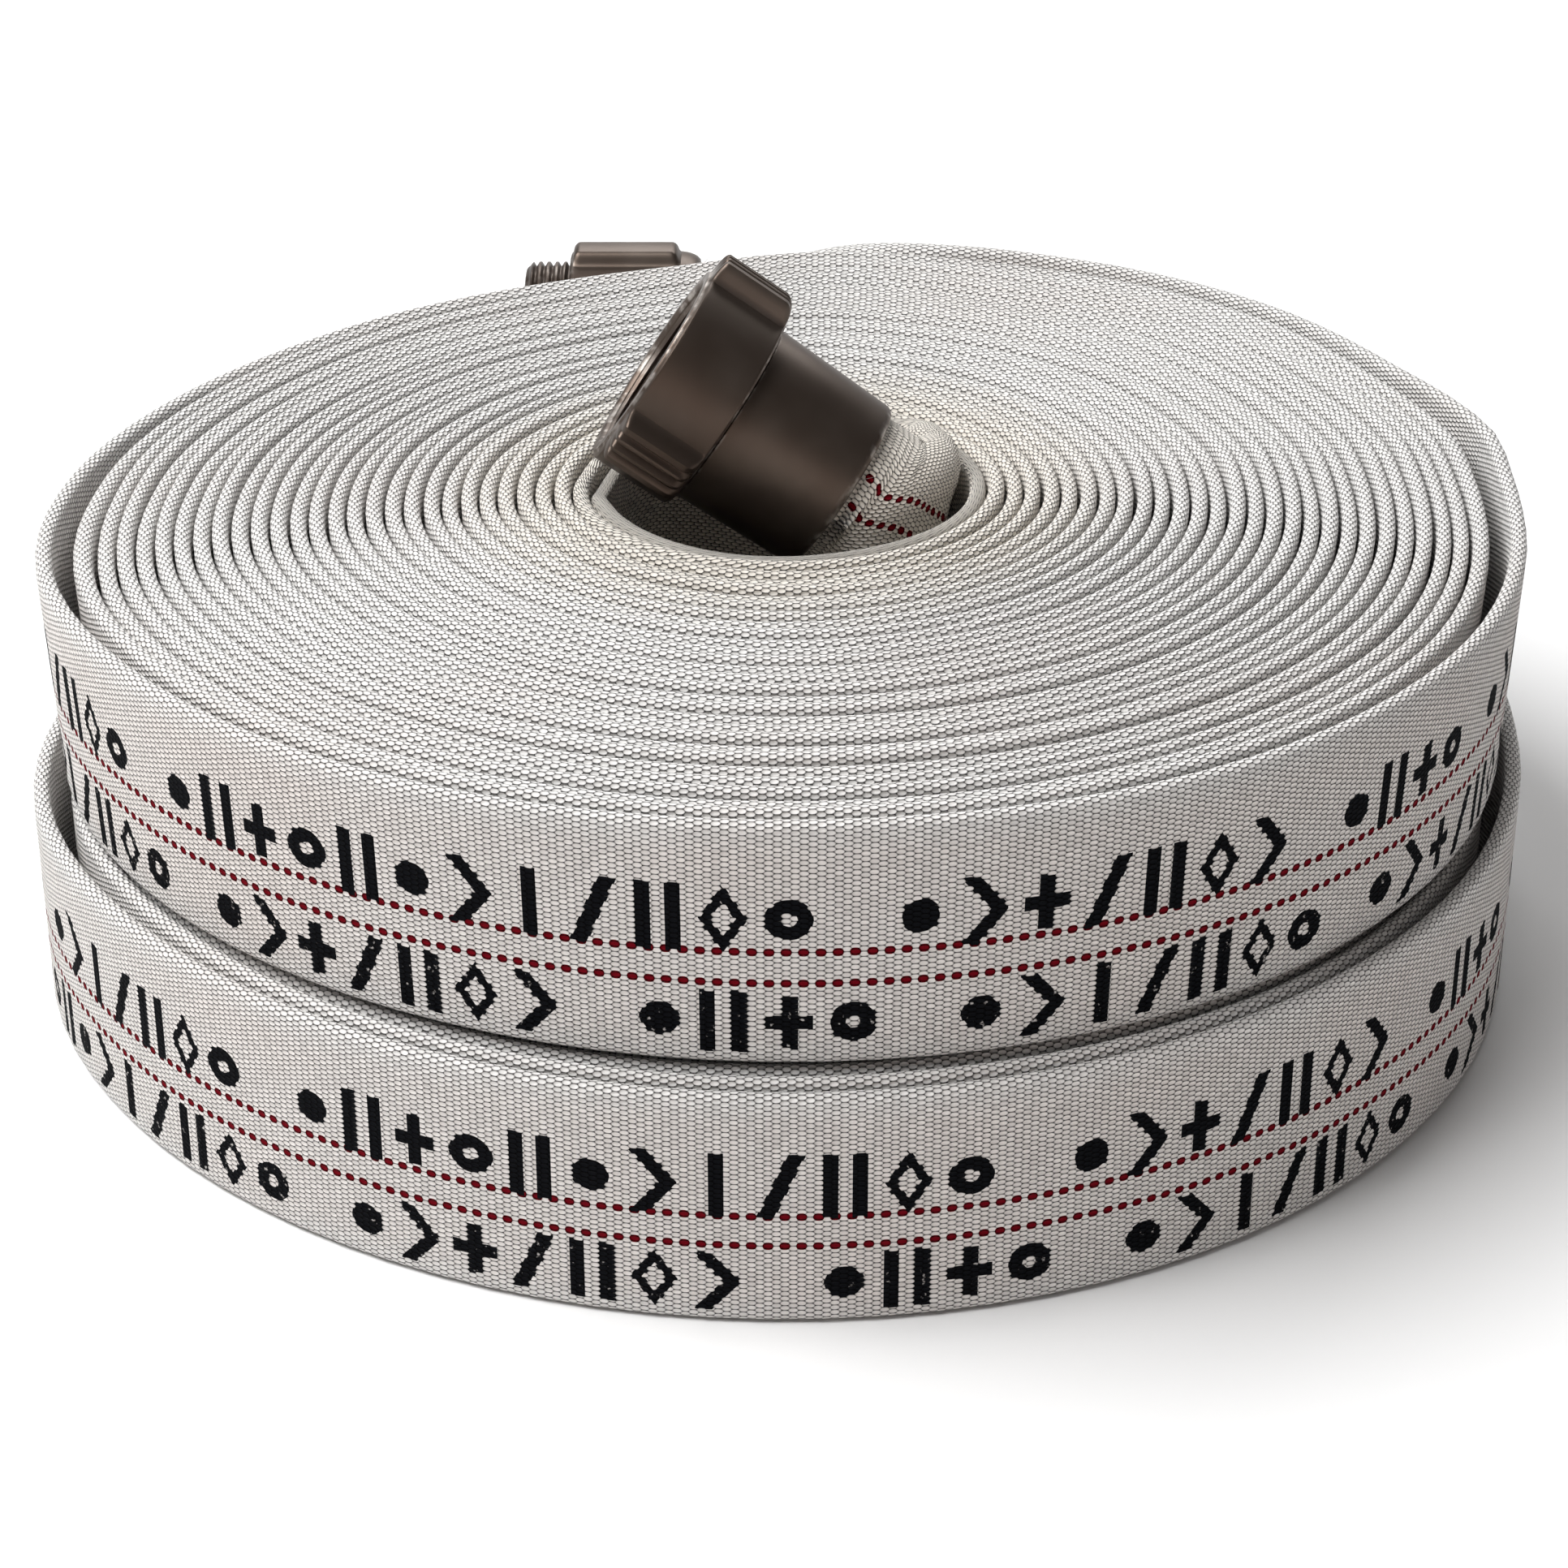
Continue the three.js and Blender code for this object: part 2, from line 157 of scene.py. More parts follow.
def smooth(low, high, x):
    """0 below low and 1 above high, smooth between."""
    t = np.clip((x - low) / (high - low), 0, 1)
    return t * t * (3 - 2 * t)


def wander(seed, turns):
    """A smooth random function of the number of turns, about -1 to 1, that differs from turn to turn."""
    draw = random.Random(seed)
    waves = [(f, draw.uniform(0, 2 * math.pi)) for f in (0.39, 0.87, 1.43, 2.61, 4.37)]
    return sum(np.sin(2 * math.pi * f * turns + p) / (1 + 0.35 * f) for f, p in waves) / 2.4


def smooth_route(stations, samples):
    """Samples a centripetal Catmull-Rom curve through rows of x, y, z and further values."""
    rows = np.asarray(stations, float)
    rows = np.vstack([2 * rows[0] - rows[1], rows, 2 * rows[-1] - rows[-2]])
    knots = np.concatenate([[0], np.cumsum(np.linalg.norm(np.diff(rows[:, :3], axis=0), axis=1) ** 0.5)])
    made = []
    for i, count in enumerate(samples):
        p0, p1, p2, p3 = rows[i : i + 4]
        t0, t1, t2, t3 = knots[i : i + 4]
        t = np.linspace(t1, t2, count, endpoint=False)[:, None]
        a1 = ((t1 - t) * p0 + (t - t0) * p1) / (t1 - t0)
        a2 = ((t2 - t) * p1 + (t - t1) * p2) / (t2 - t1)
        a3 = ((t3 - t) * p2 + (t - t2) * p3) / (t3 - t2)
        b1 = ((t2 - t) * a1 + (t - t0) * a2) / (t2 - t0)
        b2 = ((t3 - t) * a2 + (t - t1) * a3) / (t3 - t1)
        made.append(((t2 - t) * b1 + (t - t1) * b2) / (t2 - t1))
    made.append(rows[-2][None, :])
    return np.vstack(made)


class Roll:
    """Where one roll lies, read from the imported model."""

    def __init__(self, name):
        self.name = name
        self.body = f"{name}_roll"
        self.swivel_body = f"{name}_swivel"
        self.spec = ROLLS[name]
        low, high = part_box(f"{name}_rolled_turns")
        self.radius = (high.x - low.x) / 2 / MM
        self.origin = Vector(((low.x + high.x) / 2, low.y + self.radius * MM, low.z))
        joint = next(j for j in frame["joints"] if j["name"] == f"{name}_swivel_spin")
        self.female_axis = Vector(joint["axis"]).normalized()
        self.female_end = (Vector(joint["pos_m"]) - self.origin) / MM
        low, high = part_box(f"{name}_male_expansion_ring")
        middle = ((low + high) / 2 - self.origin) / MM
        self.male_axis = Vector((-1, 0, 0))
        self.male_end = Vector(((high.x - self.origin.x) / MM + 2, middle.y, middle.z))

    def placed(self, points):
        """Points in the roll's own millimetres, in the frame's metres."""
        return np.asarray(points, float) * MM + np.array(self.origin)

    def coupling_matrix(self, axis, end):
        """From a coupling's own frame, +Z along its axis and +Y up, to the frame."""
        up = (Vector((0, 0, 1)) - axis * axis.z).normalized()
        side = up.cross(axis)
        turn = Matrix((side, up, axis)).transposed().to_4x4()
        return Matrix.Translation(self.origin + end * MM) @ turn @ Matrix.Scale(MM, 4)


def total_turns(roll, first):
    """Turns from the first point to where the outer end leaves the roll."""
    return roll.spec["turns"] - (first[1] - END_ANGLE) / 360


def turn_radius(roll, turns, first):
    """Distance of the hose's middle from the roll's axis after a number of turns from the first point.

    The first point is its own distance and angle.
    """
    total = total_turns(roll, first)
    share = np.clip(turns / total, 0, 1)
    degrees = first[1] + 360 * turns
    plain = first[0] + (roll.radius - RIBBON / 2 - first[0]) * share
    gap = periodic(STAND_OFF, degrees)
    bulge = periodic(LOWER_BULGE, degrees) if roll.name == "lower" else 0.0
    out = (periodic(OUTLINE, degrees) + bulge - gap) * share**1.5
    out += gap * smooth(total - 1.06, total - 0.96, turns)
    dent = DENT_DEPTH * np.exp(-(((np.mod(degrees, 360) - DENT_ANGLE) / DENT_SPREAD) ** 2))
    out -= dent * (turns < total - 2) * share**8
    return plain + out + RADIUS_SWING * wander(3, turns) * smooth(0, 1, turns)


def spiral_stations(roll):
    """Rows of x, y, z, half height, half thickness and outward lean along the pressed turns."""
    x, y = FIRST_TURN_POINT[roll.name]
    first = (math.hypot(x, y), math.degrees(math.atan2(y, x)))
    total = total_turns(roll, first)
    turns = np.linspace(0, total, round(total * STEPS_PER_TURN) + 1)
    radius = turn_radius(roll, turns, first)
    outside = turn_radius(roll, turns + 1, first) - radius
    inside = radius - turn_radius(roll, turns - 1, first)
    outside[turns > total - 1] = RIBBON
    inside[turns < 1] = RIBBON
    half = np.clip(np.minimum(outside, inside) / 2 - SEAM_GAP, THINNEST_HALF, RIBBON / 2)
    angle = np.radians(first[1] + 360 * turns)
    lift = roll.spec["raise"] * smooth(total - 0.2, total - 0.1, turns)
    offset, swing = roll.spec["top_noise"]
    top = HOSE_WIDTH + offset + swing * wander(11, turns) + lift
    bottom = UNDERSIDE + UNDERSIDE_SWING * wander(5, turns) + lift
    x, y = radius * np.cos(angle), radius * np.sin(angle)
    top = np.minimum(top, swivel_floor(roll, x, y))
    lean = roll.spec["lean"] / HOSE_WIDTH * smooth(0, total * 0.9, turns)
    lean *= 1 - smooth(total - 0.3, total, turns)
    return np.column_stack([x, y, (top + bottom) / 2, (top - bottom) / 2, half, lean])


def swivel_floor(roll, x, y):
    """Height under the space that the turning lugs sweep, and a large height elsewhere."""
    axis, end = np.array(roll.female_axis), np.array(roll.female_end)
    level = np.full_like(x, 1e3)
    for z in np.arange(HOSE_WIDTH + 4, HOSE_WIDTH - 14, -SWEEP_STEP):
        away = np.column_stack([x, y, np.full_like(x, z)]) - end
        along = away @ axis
        far = np.linalg.norm(away - along[:, None] * axis, axis=1)
        swept = (far < SWEEP_RADIUS + RIBBON / 4) & (along > SWIVEL_FROM - 2) & (along < SWIVEL_TO + 3)
        level[swept] = z - SWEEP_STEP
    return level


def in_bowl(end, axis):
    """Stations of the round hose from its end in a bowl to just outside the bowl's mouth."""
    depths = (HOSE_IN_BOWL, HOSE_IN_BOWL / 2, 0.0, -6.0)
    return [(*(end + axis * depth), HOSE_RADIUS, HOSE_RADIUS) for depth in depths]


def outer_end(roll):
    """Stations of x, y, z, half height and half thickness from the last turn to the male coupling."""
    y, z = roll.male_end.y, roll.male_end.z
    middle = HOSE_WIDTH / 2
    lift = roll.spec["raise"]
    return [
        (60, y - 13.5, middle + lift, 33, 2.8),
        (26, y - 4.0, middle - 0.2 * (middle - z) + lift / 2, 32, 6.5),
        (4, y - 1.2, z + 0.4 * (middle - z), 28.5, 14),
        (-14, y, z, 24.5, 22),
        *reversed(in_bowl(roll.male_end, roll.male_axis)),
    ]


def hose_route(roll):
    """Rows of x, y, z, half height, half thickness and outward lean along the whole hose."""
    start = in_bowl(roll.female_end, roll.female_axis) + roll.spec["inner_end"]
    spiral = spiral_stations(roll)
    finish = outer_end(roll)
    samples = [4] * len(start) + [2] * (len(spiral) - 1) + [4] * len(finish)
    start = [(*station, 0.0) for station in start]
    finish = [(*station, 0.0) for station in finish]
    return smooth_route(np.vstack([start, spiral, finish]), samples)


def sections(route, inset):
    """The closed outlines square to the route, two straight sides joined by rounded folds, and the places
    of their points across the weave."""
    along = np.gradient(route[:, :3], axis=0)
    along /= np.linalg.norm(along, axis=1)[:, None]
    up = np.array([0, 0, 1.0]) - along[:, 2:3] * along
    up /= np.linalg.norm(up, axis=1)[:, None]
    out = np.cross(along, up)
    tall = route[:, 3:4] - inset
    thick = route[:, 4:5] - inset
    side = np.linspace(-1, 1, SIDE_POINTS + 2)[1:-1]
    arc = np.linspace(0, math.pi, ARC_POINTS)
    fold_out = np.cos(arc) * thick
    fold_up = (tall - thick) + np.sin(arc) * thick
    straight = side * (tall - thick)
    middle = SIDE_POINTS // 2
    across = np.hstack([
        np.repeat(thick, middle + 1, axis=1), fold_out,
        np.repeat(-thick, SIDE_POINTS, axis=1), -fold_out, np.repeat(thick, middle, axis=1),
    ])
    height = np.hstack([straight[:, middle:], fold_up, -straight, -fold_up, straight[:, :middle]])
    across = across + height * route[:, 5:6]
    points = route[:, None, :3] + across[:, :, None] * out[:, None, :]
    points = points + height[:, :, None] * up[:, None, :]
    step = np.linalg.norm(np.roll(points, -1, axis=1) - points, axis=2)
    around = np.concatenate([np.zeros((len(route), 1)), np.cumsum(step, axis=1)], axis=1)
    twist = TWIST * (1 - smooth(TWIST_FROM, TWIST_TO, run_length(route)))[:, None]
    return points, around / around[:, -1:] * GIRTH + twist


def open_count(route, inset):
    """How many samples from the start stand open enough to show the inside."""
    return int(np.argmax(route[:, 4] < inset + OPEN_HALF))


def side_lengths(points, centre):
    """Length along each line of the weave: true where the open end bends, then even within the roll."""
    own = np.linalg.norm(np.diff(points, axis=0), axis=2)
    extra = own - np.diff(centre)[:, None]
    extra *= (1 - smooth(OPEN_LENGTH, OPEN_LENGTH + SETTLE_LENGTH, centre[1:]))[:, None]
    extra = np.vstack([np.zeros((1, points.shape[1])), np.cumsum(extra, axis=0)])
    extra *= (1 - smooth(2 * OPEN_LENGTH, 8 * OPEN_LENGTH, centre))[:, None]
    lengths = centre[:, None] + extra
    return np.hstack([lengths, lengths[:, :1]])


def run_length(route):
    """Distance along the route to each of its samples."""
    step = np.linalg.norm(np.diff(route[:, :3], axis=0), axis=1)
    return np.concatenate([[0], np.cumsum(step)])


# ---- Meshes -------------------------------------------------------------------------------------

SHARP_ANGLE = math.radians(28)


def ring_quads(i, j, rings, sides):
    """Corners of the faces between rings i and i + 1 at sides j and j + 1, both counted in a circle."""
    ahead, beside = (i + 1) % rings, (j + 1) % sides
    corners = [i * sides + j, i * sides + beside, ahead * sides + beside, ahead * sides + j]
    return np.stack(corners, 2).reshape(-1, 4).tolist()


def linked(name, mesh, material):
    """A piece of its own from a finished mesh."""
    mesh.shade_smooth()
    mesh.materials.append(material)
    piece = bpy.data.objects.new(name, mesh)
    bpy.context.scene.collection.objects.link(piece)
    return piece


def tube_piece(name, points, along, around, material):
    """A closed mesh through rings of points, capped at both ends.

    Its UVs are the lengths along and around it, in metres.
    """
    rings, sides, _ = points.shape
    i, j = np.meshgrid(np.arange(rings - 1), np.arange(sides), indexing="ij")
    first_ring = np.arange(sides)
    caps = [first_ring[::-1].tolist(), (first_ring + (rings - 1) * sides).tolist()]
    mesh = bpy.data.meshes.new(name)
    mesh.from_pydata(points.reshape(-1, 3).tolist(), [], ring_quads(i, j, rings, sides) + caps)
    u = np.stack([along[i, j], along[i, j + 1], along[i + 1, j + 1], along[i + 1, j]], 2)
    v = np.stack([around[i, j], around[i, j + 1], around[i + 1, j + 1], around[i + 1, j]], 2)
    uv = np.stack([u, v], 3).reshape(-1, 2)
    uv = np.vstack([uv, np.zeros((2 * sides, 2))]) * MM
    mesh.uv_layers.new(name="UVMap").data.foreach_set("uv", uv.astype(np.float32).ravel())
    return linked(name, mesh, material)


def turned_piece(name, rows, around, matrix):
    """A closed turned body of anodised aluminium.

    A row is (radius, height, wear), and its radius may be an array round the axis.
    """
    count = len(rows)
    angle = np.arange(around) * 2 * math.pi / around
    points = np.zeros((count, around, 3))
    wear = np.zeros((count, around))
    for k, (radius, height, worn) in enumerate(rows):
        points[k, :, 0] = -radius * np.sin(angle)
        points[k, :, 1] = radius * np.cos(angle)
        points[k, :, 2] = height
        wear[k] = worn
    i, j = np.meshgrid(np.arange(count), np.arange(around), indexing="ij")
    mesh = bpy.data.meshes.new(name)
    mesh.from_pydata(points.reshape(-1, 3).tolist(), [], ring_quads(i, j, count, around))
    worn_points = mesh.attributes.new("wear", "FLOAT", "POINT")
    worn_points.data.foreach_set("value", wear.astype(np.float32).ravel())
    mesh.transform(matrix)
    piece = linked(name, mesh, ANODISED)
    mesh.set_sharp_from_angle(angle=SHARP_ANGLE)
    return piece


# ---- Materials ----------------------------------------------------------------------------------

CLEAN_WHITE = (0.80, 0.785, 0.765, 1)
WARM_WHITE = (0.76, 0.685, 0.64, 1)
CREAM = (0.77, 0.71, 0.62, 1)
TRACER_RED = (0.15, 0.002, 0.007, 1)
INK_BLACK = (0.004, 0.0045, 0.006, 1)
DARK_BRONZE = (0.088, 0.065, 0.052, 1)
PALE_BRONZE = (0.125, 0.100, 0.084, 1)
WORN_METAL = (0.62, 0.58, 0.54, 1)

FLOAT_REACH = 0.6 * COLUMN  # half the length of one float
FLOAT_SPREAD = 0.49 * ROW  # half its width
DASH_REACH = 0.66 * COLUMN
DASH_SPREAD = 0.78 * ROW

# The printed shapes, in cells along the hose.
PRINT_CELL = 15.2
PRINT_SIDE = 5.6  # half the width of a shape
PRINT_STROKE = 1.9  # half the width of a stroke
PRINT_SOAK = 0.4  # how far the print's edge follows the floats
UPPER_PRINT = (7.6, 9.4, 11.0)  # middle across the hose, half height, and place in the order of shapes
LOWER_PRINT = (-21.4, 8.7, 400.0)


class Graph:
    """A material's nodes, with sockets or plain numbers as inputs."""

    def __init__(self, name):
        self.material = bpy.data.materials.new(name)
        self.material.use_nodes = True
        self.tree = self.material.node_tree
        self.shader = self.tree.nodes["Principled BSDF"]

    def feed(self, socket, value):
        if isinstance(value, bpy.types.NodeSocket):
            self.tree.links.new(value, socket)
        else:
            socket.default_value = value

    def node(self, kind, settings=(), **inputs):
        node = self.tree.nodes.new(kind)
        for key, value in dict(settings).items():
            setattr(node, key, value)
        for key, value in inputs.items():
            self.feed(node.inputs[key.replace("_", " ")], value)
        return node

    def math(self, operation, *values):
        node = self.tree.nodes.new("ShaderNodeMath")
        node.operation = operation
        for socket, value in zip(node.inputs, values):
            self.feed(socket, value)
        return node.outputs[0]

    def mix(self, factor, a, b):
        node = self.tree.nodes.new("ShaderNodeMix")
        node.data_type = "RGBA"
        self.feed(node.inputs[0], factor)
        self.feed(node.inputs[6], a)
        self.feed(node.inputs[7], b)
        return node.outputs[2]

    def blend_value(self, factor, a, b):
        node = self.tree.nodes.new("ShaderNodeMix")
        self.feed(node.inputs[0], factor)
        self.feed(node.inputs[2], a)
        self.feed(node.inputs[3], b)
        return node.outputs[0]

    def noise(self, vector, scale, detail=3.0):
        node = self.node("ShaderNodeTexNoise", Vector=vector, Scale=scale, Detail=detail)
        return node.outputs["Fac"]

    def step(self, low, high, value):
        """0 below low and 1 above high, smooth between."""
        node = self.node("ShaderNodeMapRange", {"interpolation_type": "SMOOTHSTEP"}, Value=value)
        node.inputs["From Min"].default_value = low
        node.inputs["From Max"].default_value = high
        return node.outputs[0]

    def bump(self, height, distance, strength=1.0):
        node = self.node("ShaderNodeBump", Height=height, Distance=distance, Strength=strength)
        self.tree.links.new(node.outputs[0], self.shader.inputs["Normal"])

    def set(self, **inputs):
        for key, value in inputs.items():
            self.feed(self.shader.inputs[key.replace("_", " ")], value)


def grey(value):
    return (value, value, value, 1)


def woven_floats(g, u, v):
    """Height of the woven surface, and the middle of the float at each point along and across the hose."""
    found = []
    for family in (0, 1):
        du = g.math("WRAP", g.math("SUBTRACT", u, COLUMN * (0.5 + family)), COLUMN, -COLUMN)
        dv = g.math("WRAP", g.math("SUBTRACT", v, ROW / 2 * family), ROW / 2, -ROW / 2)
        lengthways = g.math("POWER", g.math("DIVIDE", g.math("ABSOLUTE", du), FLOAT_REACH), 2.4)
        across = g.math("POWER", g.math("DIVIDE", dv, FLOAT_SPREAD), 2.0)
        left = g.math("SUBTRACT", g.math("SUBTRACT", 1.0, lengthways), across)
        height = g.math("SQRT", g.math("MAXIMUM", left, 0.0))
        found.append((height, g.math("SUBTRACT", u, du), g.math("SUBTRACT", v, dv)))
    second = g.math("GREATER_THAN", found[1][0], found[0][0])
    height = g.math("MAXIMUM", found[0][0], found[1][0])
    middle_u = g.blend_value(second, found[0][1], found[1][1])
    middle_v = g.blend_value(second, found[0][2], found[1][2])
    return height, middle_u, middle_v


def inside(g, value, half):
    """1 where the value is between -half and half."""
    return g.math("LESS_THAN", g.math("ABSOLUTE", value), half)


def printed_row(g, u, v, middle, half, seed):
    """A row of plain printed shapes and gaps: bars, chevrons, slashes, rings, discs, diamonds, crosses.

    Each shape holds from its threshold to the next as the draw for its cell runs from 0 to 1.
    """
    side, stroke = PRINT_SIDE, PRINT_STROKE
    p = g.math("WRAP", u, PRINT_CELL / 2, -PRINT_CELL / 2)
    q = g.math("SUBTRACT", v, middle)
    wide = g.math("ABSOLUTE", p)
    tall = g.math("ABSOLUTE", q)
    slope = (side - stroke) / half
    across = g.math("ADD", p, g.math("MULTIPLY", tall, 2 * slope))
    leaning = g.math("SUBTRACT", p, g.math("MULTIPLY", q, slope))
    reach = g.math("SQRT", g.math("ADD", g.math("POWER", p, 2.0), g.math("POWER", q, 2.0)))
    corner = g.math("ADD", g.math("DIVIDE", wide, side), g.math("DIVIDE", tall, half))
    upright, level = inside(g, p, stroke), inside(g, q, stroke)
    cross = g.math("MAXIMUM", upright, level)
    shapes = [
        (0.00, inside(g, g.math("SUBTRACT", wide, side - stroke), stroke)),
        (0.17, inside(g, g.math("SUBTRACT", across, side - stroke), stroke * 1.15)),
        (0.29, inside(g, g.math("SUBTRACT", reach, side - stroke), stroke)),
        (0.40, inside(g, leaning, stroke * 1.1)),
        (0.52, g.math("LESS_THAN", reach, side - stroke / 2)),
        (0.64, inside(g, g.math("SUBTRACT", corner, 0.76), 0.24)),
        (0.74, g.math("MULTIPLY", cross, g.math("LESS_THAN", tall, side + stroke))),
        (0.82, upright),
        (0.89, 0.0),  # a gap
    ]
    index = g.math("ADD", g.math("ROUND", g.math("DIVIDE", u, PRINT_CELL)), seed)
    draw = g.math("FRACT", g.math("MULTIPLY", index, GOLDEN))
    shape = shapes[0][1]
    for threshold, other in shapes[1:]:
        shape = g.blend_value(g.math("GREATER_THAN", draw, threshold), shape, other)
    body = g.math("MULTIPLY", g.math("LESS_THAN", wide, side), g.math("LESS_THAN", tall, half))
    return g.math("MULTIPLY", body, shape)


def woven_jacket():
    """Plain-woven off-white polyester with two red tracer yarns and black printed shapes."""
    g = Graph("woven_jacket")
    uv = g.node("ShaderNodeUVMap", {"uv_map": "UVMap"}).outputs[0]
    parts = g.node("ShaderNodeSeparateXYZ", Vector=uv)
    u = g.math("MULTIPLY", parts.outputs[0], 1 / MM)
    v = g.math("MULTIPLY", parts.outputs[1], 1 / MM)
    v = g.math("WRAP", v, GIRTH / 2, -GIRTH / 2)
    height, middle_u, middle_v = woven_floats(g, u, v)

    place = g.node("ShaderNodeTexCoord").outputs["Object"]
    patches = g.noise(place, 9.0)
    fibre = g.noise(place, 900.0, 2.0)
    key = g.node("ShaderNodeCombineXYZ", X=middle_u, Y=middle_v).outputs[0]
    single = g.node("ShaderNodeTexWhiteNoise", {"noise_dimensions": "2D"}, Vector=key).outputs["Value"]

    # Soil lies in patches, the inner turns are creamier, and no two floats are quite alike. The outward flat
    # side, which forms the roll's wall, is darker and warmer than the folds: this is painted shade.
    outward_side_shade = g.math("SUBTRACT", 1.0, g.step(24.0, 33.0, g.math("ABSOLUTE", v)))
    soil_and_wall_shade = g.math("MULTIPLY", g.step(0.42, 0.72, patches), 0.3)
    # Painted shade: the outward flat side is tinted darker and warmer than the folds.
    soil_and_wall_shade = g.math("ADD", soil_and_wall_shade, g.math("MULTIPLY", outward_side_shade, 0.34))
    colour = g.mix(soil_and_wall_shade, CLEAN_WHITE, WARM_WHITE)
    near_centre = g.math("SUBTRACT", 1.0, g.step(500.0, 5200.0, u))
    colour = g.mix(g.math("MULTIPLY", near_centre, 0.75), colour, CREAM)
    shade = g.math("ADD", 0.86, g.math("MULTIPLY", single, 0.14))
    shade = g.math("MULTIPLY", shade, g.math("ADD", 0.92, g.math("MULTIPLY", fibre, 0.16)))
    colour = g.mix(shade, grey(0.0), colour)

    # Each tracer is one row of dyed floats.
    tracer = 0.0
    du = g.math("WRAP", g.math("SUBTRACT", u, COLUMN / 2), COLUMN, -COLUMN)
    for row in TRACER_ROWS:
        dv = g.math("SUBTRACT", v, row * ROW)
        length = g.math("POWER", g.math("DIVIDE", g.math("ABSOLUTE", du), DASH_REACH), 3.0)
        dash = g.math("ADD", length, g.math("POWER", g.math("DIVIDE", dv, DASH_SPREAD), 2.0))
        tracer = g.math("MAXIMUM", tracer, g.math("LESS_THAN", dash, 1.0))
    colour = g.mix(tracer, colour, TRACER_RED)

    # The ink is scraped off here and there in the lower row.
    soaked_u = g.blend_value(PRINT_SOAK, u, middle_u)
    soaked_v = g.blend_value(PRINT_SOAK, v, middle_v)
    upper = printed_row(g, soaked_u, soaked_v, *UPPER_PRINT)
    lower = printed_row(g, soaked_u, soaked_v, *LOWER_PRINT)
    ink = g.math("MULTIPLY", g.math("MAXIMUM", upper, lower), g.math("GREATER_THAN", u, PRINT_FROM))
    flakes = g.step(0.64, 0.72, g.noise(place, 520.0))
    missing = g.math("MULTIPLY", flakes, g.math("MULTIPLY", lower, 0.6))
    ink = g.math("MULTIPLY", ink, g.math("SUBTRACT", 1.0, missing))
    colour = g.mix(ink, colour, INK_BLACK)

    # Painted shade: the colour is darkened towards black in the gaps between the floats, where shade falls.
    painted_crevice_shade = g.math("ADD", 0.05, g.math("MULTIPLY", g.step(0.0, 0.82, height), 0.95))
    colour = g.mix(painted_crevice_shade, grey(0.0), colour)

    g.set(Base_Color=colour, Roughness=0.85, Sheen_Roughness=0.45)
    dyed = g.math("MAXIMUM", ink, tracer)
    g.set(Sheen_Weight=g.math("SUBTRACT", 0.2, g.math("MULTIPLY", dyed, 0.2)))
    g.set(Specular_IOR_Level=g.math("SUBTRACT", 0.3, g.math("MULTIPLY", dyed, 0.25)))
    g.bump(g.math("ADD", height, g.math("MULTIPLY", fibre, 0.12)), 0.6 * MM, 1.0)
    return g.material


def anodised_aluminium():
    """Hard-anodised dark bronze: satin and finely grained, with bright worn edges."""
    g = Graph("anodised_aluminium")
    place = g.node("ShaderNodeTexCoord").outputs["Object"]
    cloud = g.noise(place, 26.0)
    grain = g.noise(place, 1400.0, 2.0)
    wear = g.node("ShaderNodeAttribute", {"attribute_name": "wear"}).outputs["Fac"]
    chips = g.math("MULTIPLY", wear, g.step(0.44, 0.66, g.noise(place, 220.0)))
    colour = g.mix(g.step(0.35, 0.7, cloud), DARK_BRONZE, PALE_BRONZE)
    colour = g.mix(g.math("MULTIPLY", chips, 0.65), colour, WORN_METAL)
    rough = g.math("ADD", 0.33, g.math("MULTIPLY", cloud, 0.14))
    g.set(Base_Color=colour, Metallic=0.9, Roughness=g.math("ADD", rough, g.math("MULTIPLY", grain, 0.06)))
    g.bump(grain, 0.02 * MM, 0.5)
    return g.material


def rubber(name, value):
    """Matt rubber with a faint bloom."""
    g = Graph(name)
    place = g.node("ShaderNodeTexCoord").outputs["Object"]
    bloom = g.noise(place, 120.0)
    g.set(Base_Color=g.mix(bloom, grey(value), grey(value * 1.9)), Roughness=0.62)
    g.bump(g.noise(place, 2500.0), 0.03 * MM)
    return g.material


def bright_metal(name, colour, tarnish, roughness):
    """Bare metal with patches of tarnish."""
    g = Graph(name)
    place = g.node("ShaderNodeTexCoord").outputs["Object"]
    marks = g.noise(place, 160.0)
    g.set(Base_Color=g.mix(marks, colour, tarnish), Metallic=1.0, Roughness=roughness)
    g.bump(g.noise(place, 3000.0), 0.01 * MM)
    return g.material


JACKET = woven_jacket()
ANODISED = anodised_aluminium()
LINING = rubber("rubber_lining", 0.018)
BLACK_RUBBER = rubber("black_rubber", 0.010)
STEEL = bright_metal("steel", (0.62, 0.63, 0.65, 1), (0.45, 0.45, 0.46, 1), 0.3)
BRASS = bright_metal("brass", (0.78, 0.56, 0.26, 1), (0.55, 0.37, 0.16, 1), 0.34)


# ---- Hose pieces --------------------------------------------------------------------------------


def finished(piece, body, slot, *nodes):
    """Ties a piece to its body and hides the nodes that it stands for; the slot is not used."""
    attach(piece, body)
    if nodes:
        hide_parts(*nodes)
    return piece


def hose_jacket(roll, route):
    """The whole jacket, with its wall turned in at both ends as far as the hose stands open."""
    outside, around = sections(route, 0.0)
    along = side_lengths(outside, run_length(route))
    within, around_within = sections(route, JACKET_WALL)
    start = open_count(route, JACKET_WALL)
    end = open_count(route[::-1], JACKET_WALL)
    points = np.concatenate([within[:start][::-1], outside, within[::-1][:end]])
    u = np.concatenate([along[:start][::-1], along, along[::-1][:end]])
    v = np.concatenate([around_within[:start][::-1], around, around_within[::-1][:end]])
    piece = tube_piece(f"{roll.name}_hose_jacket", roll.placed(points), u, v, JACKET)
    names = ("rolled_turns", "inner_end_jacket", "outer_end_jacket")
    return finished(piece, roll.body, "woven_jacket", *[f"{roll.name}_{n}" for n in names])


